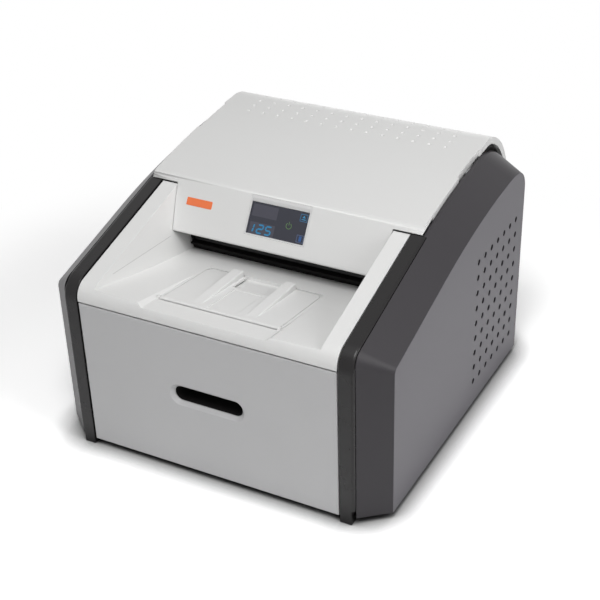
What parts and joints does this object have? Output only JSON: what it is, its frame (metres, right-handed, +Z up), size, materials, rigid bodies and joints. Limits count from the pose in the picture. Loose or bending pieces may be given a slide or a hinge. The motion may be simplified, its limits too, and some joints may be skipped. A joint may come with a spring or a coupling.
{
  "type": "dry laser imager",
  "caption": "Tabletop dry film imager: pull-out film drawer, sloping exit tray between cheeks, hinged hood with a display, vented side covers.",
  "frame": {"origin": "on the floor, at the middle of the footprint", "axes": "+Z up, the front faces -Y, +X to the right seen from the front"},
  "size_m": [0.62, 0.6518, 0.4502],
  "materials": {
    "casing_white": "satin moulded plastic",
    "front_grey": "satin silver-grey moulded plastic",
    "side_dark": "fine-textured dark grey plastic",
    "trim_dark": "fine-textured near-black plastic",
    "black_plastic": "black moulded plastic",
    "display_glass": "dark tinted window",
    "circuit": "green circuit board",
    "steel": "zinc-plated steel sheet",
    "shaft_steel": "ground steel",
    "aluminium": "machined or cast aluminium",
    "mirror": "polished facets",
    "clear_glass": "coated optical glass",
    "rubber": "black rubber",
    "film": "unexposed dry film",
    "filter": "charcoal pleats in a frame"
  },
  "bodies": {
    "machine": {"right_side_cover": "side_dark", "left_side_cover": "side_dark", "right_trim": "trim_dark", "left_trim": "trim_dark", "exit_tray_cover": "casing_white", "exit_guide": "black_plastic", "fixed_slide_rails": "steel", "base_chassis": "steel", "right_side_frame": "steel", "left_side_frame": "steel", "cross_bars": "steel", "rubber_feet": "rubber", "rear_panel": "steel", "hinge_brackets": "steel", "hinge_pins": "shaft_steel", "optics_housing": "aluminium", "optics_lid": "black_plastic", "scanner_motor": "shaft_steel", "scan_lens": "clear_glass", "laser_diode": "aluminium", "film_guide": "steel", "processor_plates": "steel", "drive_motor": "shaft_steel", "cooling_plate": "aluminium", "fan_frame": "black_plastic", "power_supply": "steel", "main_board": "circuit", "network_port": "black_plastic", "power_inlet": "black_plastic", "charcoal_filter": "filter"},
    "hood": {"hood": "casing_white", "display_bezel": "casing_white", "display_glass": "display_glass", "display_board": "circuit"},
    "drawer": {"drawer_front": "front_grey", "handle_cup": "black_plastic", "drawer_tray": "steel", "film_cartridge": "black_plastic", "film_stack": "film", "drawer_slide_rails": "steel"},
    "middle_rails": {"middle_slide_rails": "steel"},
    "flap": {"film_stop_flap": "casing_white"},
    "pickup": {"pickup_arm": "aluminium", "suction_cups": "rubber"},
    "rocker": {"power_rocker": "black_plastic"},
    "drum": {"heated_drum": "aluminium", "drum_gear": "black_plastic"},
    "pinion": {"motor_pinion": "black_plastic"},
    "polygon": {"polygon_mirror": "mirror"},
    "fan": {"fan_rotor": "black_plastic"},
    "lower_feed_roller": {"lower_feed_roller": "rubber"},
    "lower_idle_roller": {"lower_idle_roller": "rubber"},
    "upper_feed_roller": {"upper_feed_roller": "rubber"},
    "upper_idle_roller": {"upper_idle_roller": "rubber"},
    "exit_roller": {"exit_roller": "rubber"},
    "exit_idle_roller": {"exit_idle_roller": "rubber"},
    "pressure_roller_1": {"pressure_roller_1": "rubber"},
    "pressure_roller_2": {"pressure_roller_2": "rubber"},
    "pressure_roller_3": {"pressure_roller_3": "rubber"},
    "pressure_roller_4": {"pressure_roller_4": "rubber"}
  },
  "joints": [
    {"name": "drawer_slide", "type": "slide", "parent": "machine", "child": "drawer", "axis": [0, -1, 0], "range_m": [0, 0.4]},
    {"name": "middle_rails_slide", "type": "slide", "parent": "machine", "child": "middle_rails", "axis": [0, -1, 0], "range_m": [0, 0.2]},
    {"name": "hood_hinge", "type": "hinge", "parent": "machine", "child": "hood", "pos_m": [0, 0.31462, 0.352], "axis": [-1, 0, 0], "range_deg": [0, 60]},
    {"name": "flap_hinge", "type": "hinge", "parent": "machine", "child": "flap", "pos_m": [0, -0.27438, 0.29678], "axis": [1, 0, 0], "range_deg": [0, 165]},
    {"name": "pickup_swing", "type": "hinge", "parent": "machine", "child": "pickup", "pos_m": [0, -0.02538, 0.12], "axis": [-1, 0, 0], "range_deg": [0, 11]},
    {"name": "rocker_tip", "type": "hinge", "parent": "machine", "child": "rocker", "pos_m": [0.128, 0.31062, 0.085], "axis": [-1, 0, 0], "range_deg": [0, 16]},
    {"name": "polygon_spin", "type": "hinge", "parent": "machine", "child": "polygon", "pos_m": [-0.06, -0.17538, 0.182], "axis": [0, 0, 1], "continuous": true},
    {"name": "fan_spin", "type": "hinge", "parent": "machine", "child": "fan", "pos_m": [-0.14, 0.30212, 0.262], "axis": [0, 1, 0], "continuous": true},
    {"name": "drum_spin", "type": "hinge", "parent": "machine", "child": "drum", "pos_m": [0, 0.12962, 0.325], "axis": [1, 0, 0], "continuous": true},
    {"name": "pinion_spin", "type": "hinge", "parent": "machine", "child": "pinion", "pos_m": [0, 0.1014, 0.24748], "axis": [1, 0, 0], "continuous": true},
    {"name": "pressure_roller_1_spin", "type": "hinge", "parent": "machine", "child": "pressure_roller_1", "pos_m": [0, 0.20042, 0.34397], "axis": [1, 0, 0], "continuous": true},
    {"name": "pressure_roller_2_spin", "type": "hinge", "parent": "machine", "child": "pressure_roller_2", "pos_m": [0, 0.16516, 0.38911], "axis": [1, 0, 0], "continuous": true},
    {"name": "pressure_roller_3_spin", "type": "hinge", "parent": "machine", "child": "pressure_roller_3", "pos_m": [0, 0.10819, 0.3951], "axis": [1, 0, 0], "continuous": true},
    {"name": "pressure_roller_4_spin", "type": "hinge", "parent": "machine", "child": "pressure_roller_4", "pos_m": [0, 0.06431, 0.35828], "axis": [1, 0, 0], "continuous": true},
    {"name": "lower_feed_roller_spin", "type": "hinge", "parent": "machine", "child": "lower_feed_roller", "pos_m": [0, 0.20197, 0.118], "axis": [1, 0, 0], "continuous": true},
    {"name": "lower_idle_roller_spin", "type": "hinge", "parent": "machine", "child": "lower_idle_roller", "pos_m": [0, 0.22027, 0.118], "axis": [1, 0, 0], "continuous": true},
    {"name": "upper_feed_roller_spin", "type": "hinge", "parent": "machine", "child": "upper_feed_roller", "pos_m": [0, 0.20197, 0.262], "axis": [1, 0, 0], "continuous": true},
    {"name": "upper_idle_roller_spin", "type": "hinge", "parent": "machine", "child": "upper_idle_roller", "pos_m": [0, 0.22027, 0.262], "axis": [1, 0, 0], "continuous": true},
    {"name": "exit_roller_spin", "type": "hinge", "parent": "machine", "child": "exit_roller", "pos_m": [0, -0.04938, 0.28485], "axis": [1, 0, 0], "continuous": true},
    {"name": "exit_idle_roller_spin", "type": "hinge", "parent": "machine", "child": "exit_idle_roller", "pos_m": [0, -0.04938, 0.30315], "axis": [1, 0, 0], "continuous": true}
  ],
  "couplings": [
    {"joint": "middle_rails_slide", "follows": "drawer_slide", "ratio": 0.5},
    {"joint": "pinion_spin", "follows": "drum_spin", "ratio": -5.6},
    {"joint": "pressure_roller_1_spin", "follows": "drum_spin", "ratio": -8.125},
    {"joint": "pressure_roller_2_spin", "follows": "drum_spin", "ratio": -8.125},
    {"joint": "pressure_roller_3_spin", "follows": "drum_spin", "ratio": -8.125},
    {"joint": "pressure_roller_4_spin", "follows": "drum_spin", "ratio": -8.125},
    {"joint": "lower_idle_roller_spin", "follows": "lower_feed_roller_spin", "ratio": -1},
    {"joint": "upper_feed_roller_spin", "follows": "lower_feed_roller_spin", "ratio": 1},
    {"joint": "upper_idle_roller_spin", "follows": "lower_feed_roller_spin", "ratio": -1},
    {"joint": "exit_roller_spin", "follows": "lower_feed_roller_spin", "ratio": 1},
    {"joint": "exit_idle_roller_spin", "follows": "lower_feed_roller_spin", "ratio": -1}
  ]
}
